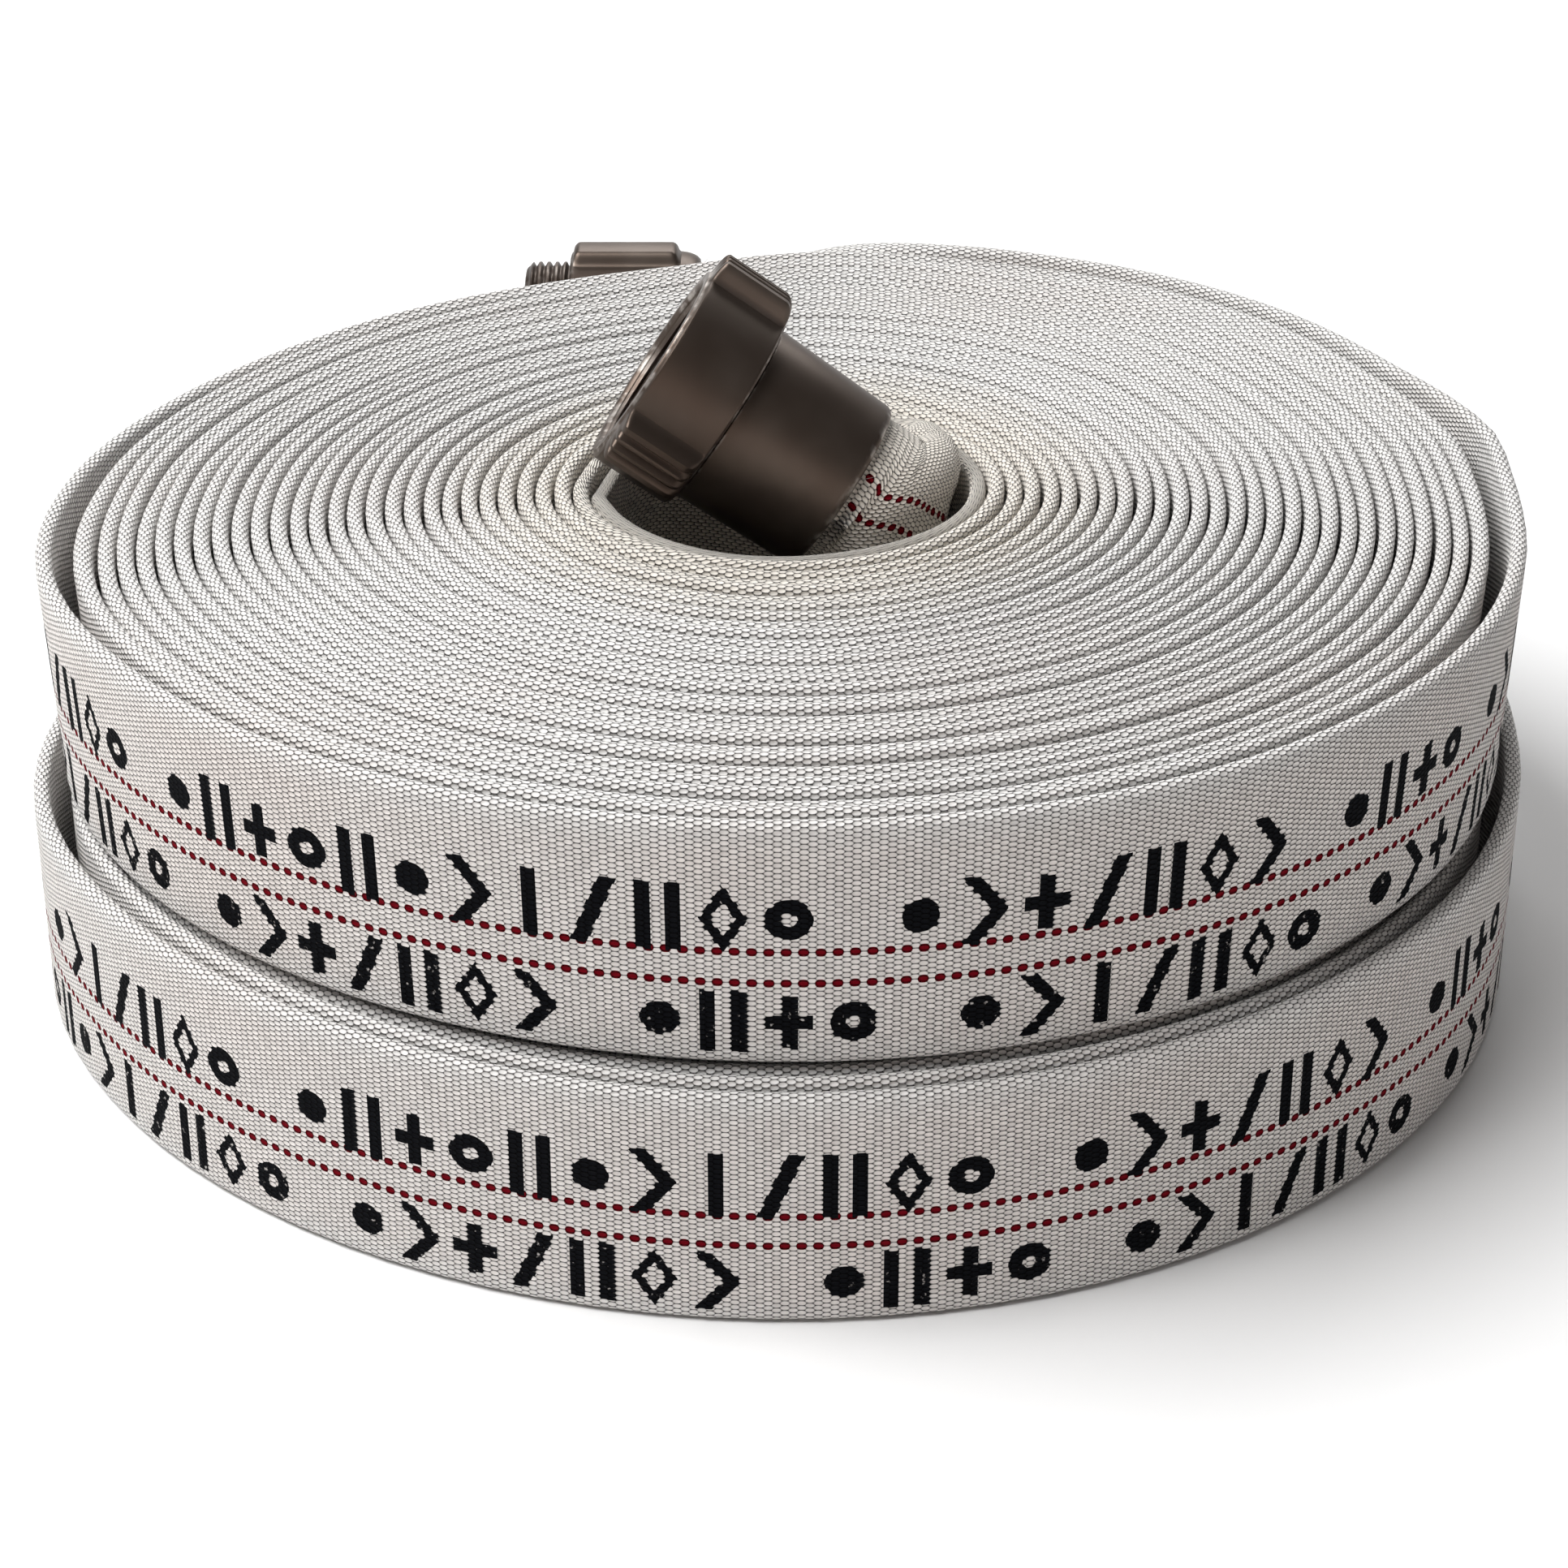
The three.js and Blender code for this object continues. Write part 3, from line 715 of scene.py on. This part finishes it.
def hose_lining(roll, route, end):
    """The rubber lining of one open end: a thin tube that closes where the hose is pressed flat."""
    clear = JACKET_WALL + LINING_GAP
    count = open_count(route, clear + LINING_WALL)
    outside, around = sections(route[:count], clear)
    within, around_within = sections(route[:count], clear + LINING_WALL)
    along = side_lengths(outside, run_length(route[:count]))
    points = np.concatenate([within[::-1], outside])
    u = np.concatenate([along[::-1], along])
    v = np.concatenate([around_within[::-1], around])
    piece = tube_piece(f"{roll.name}_{end}_end_rubber", roll.placed(points), u, v, LINING)
    return finished(piece, roll.body, "rubber_lining", f"{roll.name}_{end}_end_lining")


# ---- Couplings ----------------------------------------------------------------------------------

# A coupling's stations run along its axis from the bowl's mouth. Its rows are radius, station and wear.

WATERWAY = 19.05
BOWL_BORE = 23.9
BOWL_DEPTH = 34.3
THREAD_PITCH = 2.82
THREAD_RUNOUT = 1.2
FINE = 360  # points round the axis where lugs or threads need them
PLAIN = 144
DEGREES = np.arange(FINE) * 360 / FINE

SWIVEL_RADIUS = 31.0
MALE_RADIUS = 28.8
MALE_SHOULDER = 8  # length over which the male body widens
MALE_MOUTH_RADIUS = 25.2
THREAD_WEAR = 0.25

LUG_ANGLES = (0, 120, 240)
GROOVE_DEPTH, GROOVE_SPREAD = 1.8, 0.75
FEMALE_LUGS = {
    "phase": 10,
    "radius": 36.8,
    "body": SWIVEL_RADIUS,
    "half_top": 6.4,
    "half_root": 9.4,
    "span": (39.3, 63.3),
    "rounding": (3.6, 1.8),
    "grooves": (0.0, 3.4),
}
MALE_LUGS = {
    "phase": 0,
    "radius": 32.2,
    "body": MALE_RADIUS,
    "half_top": 5.0,
    "half_root": 9.2,
    "span": (7.2, 43.0),
    "rounding": (2.6, 2.6),
    "grooves": (),
}
PLUG_ANGLE = FEMALE_LUGS["phase"] + 60
PLUG_STATION = 42.5


def degrees_from(angle):
    """How far each point round the axis lies from an angle."""
    return np.abs(np.mod(DEGREES - angle + 180, 360) - 180)


def lug_height(station, lugs):
    """How far the lugs stand above the round body, round the axis at one station along it."""
    away = np.min([degrees_from(angle + lugs["phase"]) for angle in LUG_ANGLES], axis=0)
    across = np.radians(away) * (lugs["radius"] + lugs["body"]) / 2
    rise = (lugs["radius"] - lugs["body"]) * (1 - smooth(lugs["half_top"], lugs["half_root"], across))
    for groove in lugs["grooves"]:
        rise = rise - GROOVE_DEPTH * np.exp(-(((across - groove) / GROOVE_SPREAD) ** 2))
    (first, last), (round_tail, round_mouth) = lugs["span"], lugs["rounding"]
    reach = min((station - first) / round_tail, (last - station) / round_mouth, 1)
    if reach <= 0:
        return np.zeros_like(DEGREES)
    return np.maximum(rise, 0) * math.sqrt(1 - (1 - reach) ** 2)


def thread_rows(crest, root, start, stop, steps):
    """Rows of a single-start thread that runs out at both ends."""
    rows = []
    for station in np.linspace(start, stop, steps):
        turn = np.mod((station - start) / THREAD_PITCH - DEGREES / 360, 1)
        ridge = smooth(0.0, 1.0, np.clip(1.25 - 2.5 * np.abs(turn - 0.5), 0, 1))
        fade = min(1, abs(station - start) / THREAD_RUNOUT, abs(stop - station) / THREAD_RUNOUT)
        rows.append((root + (crest - root) * ridge * fade, station, THREAD_WEAR))
    return rows


BOWL_INSIDE = [
    (WATERWAY, BOWL_DEPTH, 0),
    (BOWL_BORE, BOWL_DEPTH, 0),
    (BOWL_BORE, 0.9, 0),
    (BOWL_BORE + 0.45, 0.1, 0.6),
]


def female_bowl(roll, matrix):
    """The expansion bowl, with the neck that carries the swivel's wire race and seal."""
    bowl = [
        (24.7, 0.0, 0.5), (25.2, 0.15, 0.8), (25.8, 0.7, 0.8), (26.1, 1.5, 0.3), (26.2, 2.4, 0),
        (26.75, 20, 0), (27.25, 37.6, 0), (27.15, 38.2, 0.5), (26.8, 38.5, 0.5),
    ]
    neck = [
        (24.6, 38.5, 0), (24.6, 41.2, 0), (23.5, 41.2, 0), (23.5, 43.8, 0), (24.6, 43.8, 0), (24.6, 45.6, 0),
        (22.6, 45.6, 0), (22.6, 48, 0), (24.6, 48, 0), (24.6, 49.6, 0), (24.2, 50, 0), (19.5, 50, 0.4),
        (WATERWAY, 49.5, 0.4),
    ]
    piece = turned_piece(f"{roll.name}_bowl_shell", bowl + neck + BOWL_INSIDE, PLAIN, matrix)
    return finished(piece, roll.body, "anodised_aluminium", f"{roll.name}_female_bowl")


def swivel_skin(station):
    """Radius round the axis of the swivel's outside at one station: edges eased, lugs on, plug hole sunk."""
    tail_edge = 0.75 * (1 - smooth(0, 0.8, station - SWIVEL_FROM))
    mouth_edge = 1.5 * (1 - smooth(0, 1.4, SWIVEL_TO - station))
    body = SWIVEL_RADIUS - tail_edge - mouth_edge
    from_plug = np.hypot(np.radians(degrees_from(PLUG_ANGLE)) * SWIVEL_RADIUS, station - PLUG_STATION)
    return body + lug_height(station, FEMALE_LUGS) - 0.5 * (1 - smooth(2.3, 2.7, from_plug))


def swivel(roll, matrix):
    """The turning collar: outside, mouth, internal thread, and the bore that runs on the bowl's neck."""
    tail = [(24.95, SWIVEL_FROM, 0), (28.5, SWIVEL_FROM, 0)]
    stations = [
        *np.linspace(SWIVEL_FROM, 40.5, 6), *np.linspace(41, 59.5, 38), *np.linspace(60, SWIVEL_TO, 14),
    ]
    outside = [(swivel_skin(s), s, 0.5 * (s < 39.3) + 0.7 * (s > 63.2)) for s in stations]
    mouth = [
        (28.6, 64.15, 0.2), (26.6, 64.1, 0.6), (26.0, 63.7, 1.0), (25.5, 63.1, 1.0), (25.35, 62.8, 0.6),
    ]
    thread = thread_rows(24.25, 25.35, 62.6, 54.5, 44)
    bore = [
        (25.35, 54.3, 0), (26.4, 54.2, 0), (26.4, 49.4, 0), (24.95, 49.4, 0), (24.95, 43.8, 0),
        (26.1, 43.8, 0), (26.1, 41.2, 0), (24.95, 41.2, 0),
    ]
    piece = turned_piece(f"{roll.name}_swivel_shell", tail + outside + mouth + thread + bore, FINE, matrix)
    return finished(piece, roll.swivel_body, "anodised_aluminium", f"{roll.name}_swivel")


def male_skin(station):
    """Radius round the axis of the male body's outside at one station: a round shoulder, then lugs."""
    short_of_full = 1 - min(station / MALE_SHOULDER, 1)
    fall = 1 - math.sqrt(1 - short_of_full**2)
    return MALE_RADIUS - (MALE_RADIUS - MALE_MOUTH_RADIUS) * fall + lug_height(station, MALE_LUGS)


def male_body(roll, matrix):
    """The male coupling: shoulder and lugs, external thread, and the rounded nose."""
    stations = [*np.linspace(0.2, MALE_SHOULDER, 12), *np.linspace(8.6, 38, 40), *np.linspace(38.5, 43, 14)]
    outside = [(24.7, 0.0, 0.4)] + [(male_skin(s), s, 0.25 * (s > 42)) for s in stations]
    step_in = [(28.3, 43.6, 0.6), (27.6, 43.8, 0.5), (24.6, 43.8, 0), (23.8, 44.0, 0)]
    thread = thread_rows(25.25, 23.8, 44.4, 58.0, 66)
    nose = [
        (23.6, 58.4, 0.3), (23.0, 58.9, 0.5), (22.4, 59.0, 0.4), (19.6, 59.0, 0.3), (WATERWAY, 58.4, 0.3),
    ]
    rows = outside + step_in + thread + nose + BOWL_INSIDE
    piece = turned_piece(f"{roll.name}_male_shell", rows, FINE, matrix)
    return finished(piece, roll.body, "anodised_aluminium", f"{roll.name}_male_body")


FRAY_RADIUS = 0.13
FRAY_TAPER = 0.6  # the part of its radius that a fibre loses towards its tip
FRAY_KNOTS = 5  # points along one fibre
FRAY_SIDES = 4
INNER_FRAYS, OUTER_FRAYS = (46, 21), (30, 22)  # how many fibres, and the seed of the draws that shape them


def frayed_threads(roll, name, end, axis, count, seed):
    """Short loose fibres where the jacket's cut edge meets the mouth of a bowl, as one mesh."""
    draw = random.Random(seed)
    up = (Vector((0, 0, 1)) - axis * axis.z).normalized()
    side = up.cross(axis)
    points, faces = [], []
    for _ in range(count):
        turn = draw.uniform(0, 2 * math.pi)
        out = side * math.cos(turn) + up * math.sin(turn)
        tangent = axis.cross(out)
        at = end + out * (HOSE_RADIUS + 0.05) + axis * draw.uniform(0.2, 0.8)
        heading = -axis * draw.uniform(0.4, 1) + out * draw.uniform(0.25, 0.8)
        heading = (heading + tangent * draw.uniform(-0.8, 0.8)).normalized()
        bend = (tangent * draw.uniform(-1, 1) - axis * 0.5) * 0.25
        step = draw.uniform(0.7, 1.5)
        first = len(points)
        for k in range(FRAY_KNOTS):
            radius = FRAY_RADIUS * (1 - FRAY_TAPER * k / FRAY_KNOTS)
            for corner in range(FRAY_SIDES):
                spin = corner * math.pi / 2
                across = tangent * math.cos(spin) + out.cross(tangent) * math.sin(spin)
                points.append(at + across * radius)
            at = at + heading * step
            heading = (heading + bend).normalized()
        last = first + FRAY_SIDES * (FRAY_KNOTS - 1)
        for ring in range(first, last, FRAY_SIDES):
            for corner in range(FRAY_SIDES):
                a, b = ring + corner, ring + (corner + 1) % FRAY_SIDES
                faces.append((a, b, b + FRAY_SIDES, a + FRAY_SIDES))
        faces.append(tuple(first + corner for corner in reversed(range(FRAY_SIDES))))
        faces.append(tuple(last + corner for corner in range(FRAY_SIDES)))
    mesh = bpy.data.meshes.new(name)
    mesh.from_pydata([tuple(p * MM + roll.origin) for p in points], [], faces)
    mesh.uv_layers.new(name="UVMap")
    return finished(linked(name, mesh, JACKET), roll.body, "woven_jacket")


def paint_small_parts(roll):
    """Gives the carried-over CAD parts inside the couplings their materials."""
    finishes = {
        "female_expansion_ring": BRASS,
        "male_expansion_ring": BRASS,
        "female_tail_gasket": BLACK_RUBBER,
        "male_tail_gasket": BLACK_RUBBER,
        "swivel_o_ring": BLACK_RUBBER,
        "swivel_gasket": BLACK_RUBBER,
        "retaining_wire": STEEL,
        "fill_plug": STEEL,
    }
    for part, material in finishes.items():
        node = frame["nodes"][f"{roll.name}_{part}"]
        node.data.materials.clear()
        node.data.materials.append(material)


# ---- Stage --------------------------------------------------------------------------------------

LENS = 79.1
SENSOR = 36.0
ELEVATION = math.radians(27.06)
DISTANCE = 1.0136
AIM_DROP = 96.5  # millimetres from the upper roll's top down to the camera's aim

FLOOR_REACH = 12.0  # metres
FLOOR_LEVEL = -0.0002  # metres, a hair under the lower roll
GLOW_FROM, GLOW_FULL = 0.9, 3.0  # metres out over which the floor turns into its own pale backdrop
GLOW = 0.75
# The sky is pale up to the first height, on a unit sphere, and dim from the second.
HORIZON = {"From Min": 0.1, "From Max": 0.3, "To Min": 0.6, "To Max": 0.09}
LAMP_AIM = (0, 0, 0.1)
# Place and size in metres, power in watts and tint.
SOFTBOXES = {
    "key": ((-0.95, -0.25, 1.85), (1.6, 1.2), 61, (1, 1, 1)),
    "front": ((0.2, -2.6, 0.42), (3.0, 0.7), 5, (1, 0.76, 0.64)),
    "rear": ((0.3, 1.9, 1.5), (1.8, 0.8), 27, (1, 1, 1)),
}


def camera():
    """Looks down on the two rolls, which fill the picture's width."""
    upper = ROLL_UPPER.origin
    aim = Vector((upper.x, upper.y, upper.z + (HOSE_WIDTH - AIM_DROP) * MM))
    back = Vector((0, -math.cos(ELEVATION), math.sin(ELEVATION)))
    data = bpy.data.cameras.new("camera")
    data.lens = LENS
    data.sensor_width = SENSOR
    data.clip_start = 0.05
    eye = bpy.data.objects.new("camera", data)
    eye.location = aim + back * DISTANCE
    eye.rotation_euler = (-back).to_track_quat("-Z", "Y").to_euler()
    bpy.context.scene.collection.objects.link(eye)
    bpy.context.scene.camera = eye


def softbox(name, at, size, power, tint):
    """A rectangular lamp that faces the middle of the two rolls."""
    data = bpy.data.lights.new(name, "AREA")
    data.shape = "RECTANGLE"
    data.size, data.size_y = size
    data.energy = power
    data.color = tint
    lamp = bpy.data.objects.new(name, data)
    lamp.location = at
    lamp.rotation_euler = (Vector(LAMP_AIM) - Vector(at)).to_track_quat("-Z", "Y").to_euler()
    bpy.context.scene.collection.objects.link(lamp)


def pale_floor():
    """A matt floor that glows a little far out, where the lamps don't reach."""
    g = Graph("pale_floor")
    place = g.node("ShaderNodeTexCoord").outputs["Object"]
    distance = g.node("ShaderNodeVectorMath", {"operation": "LENGTH"})
    g.feed(distance.inputs[0], place)
    g.set(Base_Color=g.mix(g.noise(place, 1.5), grey(0.86), grey(0.9)), Roughness=0.9)
    glow = g.math("MULTIPLY", g.step(GLOW_FROM, GLOW_FULL, distance.outputs["Value"]), GLOW)
    g.set(Emission_Color=grey(1.0), Emission_Strength=glow)
    return g.material


def lay_floor():
    mesh = bpy.data.meshes.new("floor")
    corners = [(x * FLOOR_REACH, y * FLOOR_REACH, 0) for x, y in ((-1, -1), (1, -1), (1, 1), (-1, 1))]
    mesh.from_pydata(corners, [], [(0, 1, 2, 3)])
    mesh.materials.append(pale_floor())
    floor = bpy.data.objects.new("floor", mesh)
    floor.location.z = FLOOR_LEVEL
    bpy.context.scene.collection.objects.link(floor)


def sky():
    """A world that is pale at the horizon and dim above."""
    world = bpy.data.worlds.new("studio")
    world.use_nodes = True
    tree = world.node_tree
    height = tree.nodes.new("ShaderNodeSeparateXYZ")
    tree.links.new(tree.nodes.new("ShaderNodeTexCoord").outputs["Generated"], height.inputs[0])
    brightness = tree.nodes.new("ShaderNodeMapRange")
    for key, value in HORIZON.items():
        brightness.inputs[key].default_value = value
    tree.links.new(height.outputs["Z"], brightness.inputs["Value"])
    background = tree.nodes["Background"]
    background.inputs["Color"].default_value = grey(1.0)
    tree.links.new(brightness.outputs[0], background.inputs["Strength"])
    bpy.context.scene.world = world


def stage():
    lay_floor()
    sky()
    for name, (at, size, power, tint) in SOFTBOXES.items():
        softbox(name, at, size, power, tint)
    bpy.context.scene.view_settings.view_transform = "Standard"


# ---- Assembly -----------------------------------------------------------------------------------


def build(roll):
    """Every piece of one hose and its couplings."""
    route = hose_route(roll)
    hose_jacket(roll, route)
    hose_lining(roll, route, "inner")
    hose_lining(roll, route[::-1], "outer")
    female = roll.coupling_matrix(roll.female_axis, roll.female_end)
    male = roll.coupling_matrix(roll.male_axis, roll.male_end)
    female_bowl(roll, female)
    swivel(roll, female)
    male_body(roll, male)
    frayed_threads(roll, f"{roll.name}_inner_frays", roll.female_end, roll.female_axis, *INNER_FRAYS)
    frayed_threads(roll, f"{roll.name}_outer_frays", roll.male_end, roll.male_axis, *OUTER_FRAYS)
    paint_small_parts(roll)


ROLL_UPPER = Roll("upper")
ROLL_LOWER = Roll("lower")
camera()
stage()
build(ROLL_UPPER)
build(ROLL_LOWER)
